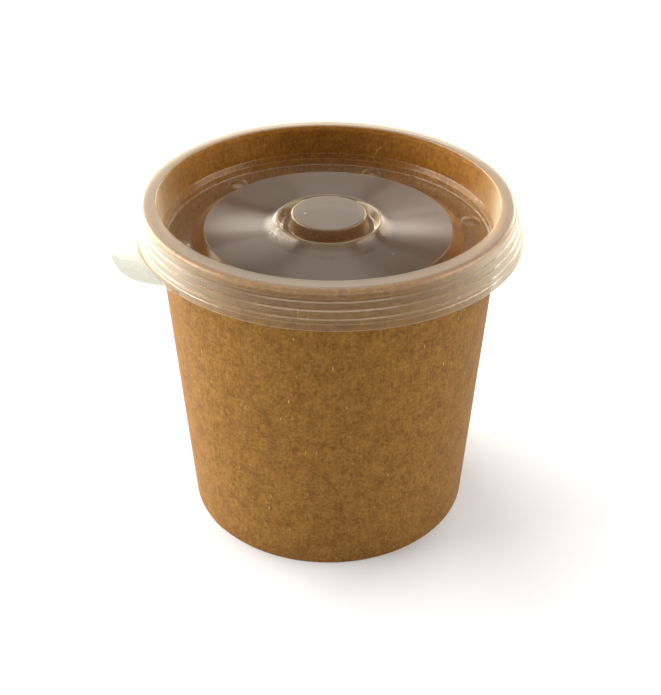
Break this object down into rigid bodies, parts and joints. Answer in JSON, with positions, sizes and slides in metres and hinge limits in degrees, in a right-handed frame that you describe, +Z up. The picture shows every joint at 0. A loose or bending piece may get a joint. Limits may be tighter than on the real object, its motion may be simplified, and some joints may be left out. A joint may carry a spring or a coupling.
{
  "type": "takeaway soup container",
  "caption": "Round tapered kraft board soup container with a rolled rim, a recessed base and a translucent press-fit plastic lid with a lifting tab.",
  "frame": {"origin": "on the table plane, at the middle of the container's footprint seen from above, the lid's tab included, so the cup's own axis stands 1.8 mm from it towards +X", "axes": "+Z up along the cup's axis, out of the lid; +X level, away from the lid's lifting tab; +Y level, towards the back, with the board's side seam at the front left"},
  "size_m": [0.0996, 0.0948, 0.0876],
  "materials": {
    "kraft_board": "matte",
    "kraft_base_board": "matte",
    "frosted_polypropylene": "satin"
  },
  "bodies": {
    "root": {"cup_wall": "kraft_board", "cup_base": "kraft_base_board", "lid": "frosted_polypropylene"}
  },
  "joints": []
}
